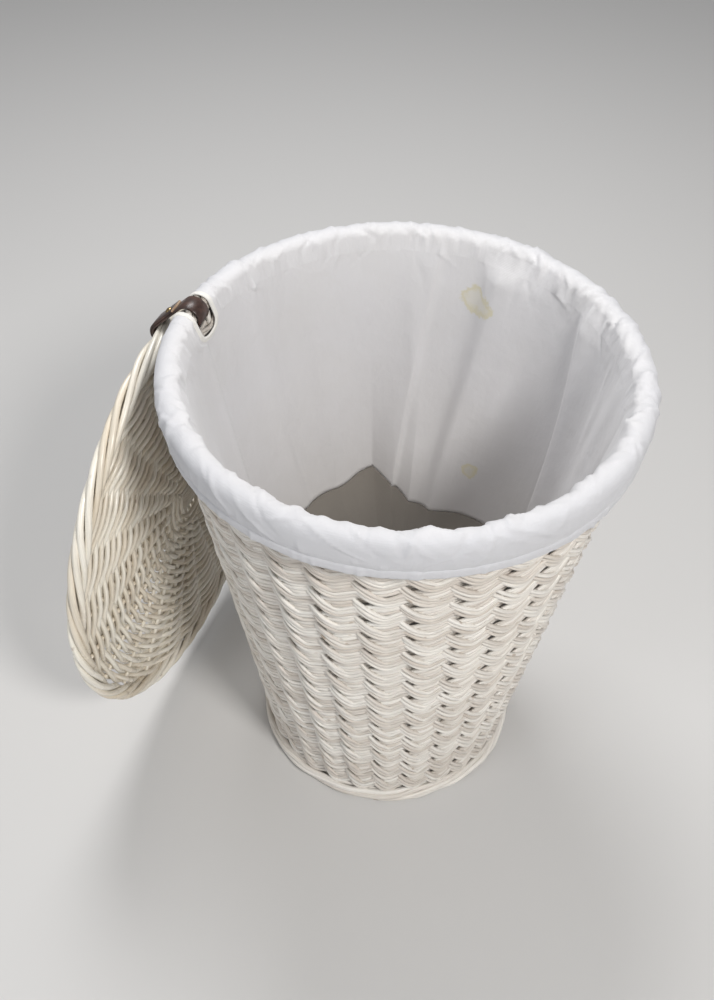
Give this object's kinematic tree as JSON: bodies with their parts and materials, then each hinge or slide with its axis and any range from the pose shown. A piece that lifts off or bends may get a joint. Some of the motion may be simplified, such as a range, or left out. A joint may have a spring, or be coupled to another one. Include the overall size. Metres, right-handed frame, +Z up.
{
  "type": "wicker laundry basket",
  "caption": "Tall round tapered wicker laundry basket with a loose cotton liner folded over the rim and a round woven lid hanging open on a leather strap.",
  "frame": {"origin": "on the floor, under the middle of the plan outline of the basket and its hanging lid", "axes": "+Z up; the basket's own axis is vertical at x +47.5 mm, y -42.4 mm; the lid hangs on the side towards -X and +Y"},
  "size_m": [0.545, 0.5348, 0.5413],
  "materials": {
    "wicker": "bleached peeled willow rods, satin",
    "lid_wicker": "fine peeled willow, slightly warmer and glossier than the side",
    "cotton": "thin cool white cotton, plain weave",
    "leather": "dark brown, smooth, slightly shiny",
    "rivet": "aged dark brass"
  },
  "bodies": {
    "basket": {"foot_border": "wicker", "base_weave": "wicker", "base_stick_01": "wicker", "base_stick_02": "wicker", "base_stick_03": "wicker", "base_stick_04": "wicker", "base_stick_05": "wicker", "base_stick_06": "wicker", "side_stake_01": "wicker", "side_stake_02": "wicker", "side_stake_03": "wicker", "side_stake_04": "wicker", "side_stake_05": "wicker", "side_stake_06": "wicker", "side_stake_07": "wicker", "side_stake_08": "wicker", "side_stake_09": "wicker", "side_stake_10": "wicker", "side_stake_11": "wicker", "side_stake_12": "wicker", "side_stake_13": "wicker", "side_stake_14": "wicker", "side_stake_15": "wicker", "side_stake_16": "wicker", "side_stake_17": "wicker", "side_stake_18": "wicker", "side_stake_19": "wicker", "side_stake_20": "wicker", "side_stake_21": "wicker", "side_stake_22": "wicker", "side_stake_23": "wicker", "side_stake_24": "wicker", "side_stake_25": "wicker", "side_stake_26": "wicker", "side_stake_27": "wicker", "side_stake_28": "wicker", "side_stake_29": "wicker", "side_stake_30": "wicker", "side_weave": "wicker", "rim_border": "wicker", "liner_side": "cotton", "liner_base": "cotton", "liner_hem_casing": "cotton", "liner_slit_binding": "cotton"},
    "strap": {"hinge_strap": "leather", "strap_rivet": "rivet"},
    "lid": {"lid_weave": "lid_wicker", "lid_stick_01": "lid_wicker", "lid_stick_02": "lid_wicker", "lid_stick_03": "lid_wicker", "lid_stick_04": "lid_wicker", "lid_stick_05": "lid_wicker", "lid_stick_06": "lid_wicker", "lid_stick_07": "lid_wicker", "lid_stick_08": "lid_wicker", "lid_stick_09": "lid_wicker", "lid_stick_10": "lid_wicker", "lid_stick_11": "lid_wicker", "lid_stick_12": "lid_wicker", "lid_border": "lid_wicker"}
  },
  "joints": [
    {"name": "strap_swing", "type": "hinge", "parent": "basket", "child": "strap", "pos_m": [-0.15354, 0.02878, 0.5283], "axis": [0.3338, 0.9426, 0], "range_deg": [0, 79.05]},
    {"name": "lid_swing", "type": "hinge", "parent": "strap", "child": "lid", "pos_m": [-0.18021, 0.03822, 0.50002], "axis": [0.3338, 0.9426, 0], "range_deg": [0, 189.45]}
  ]
}
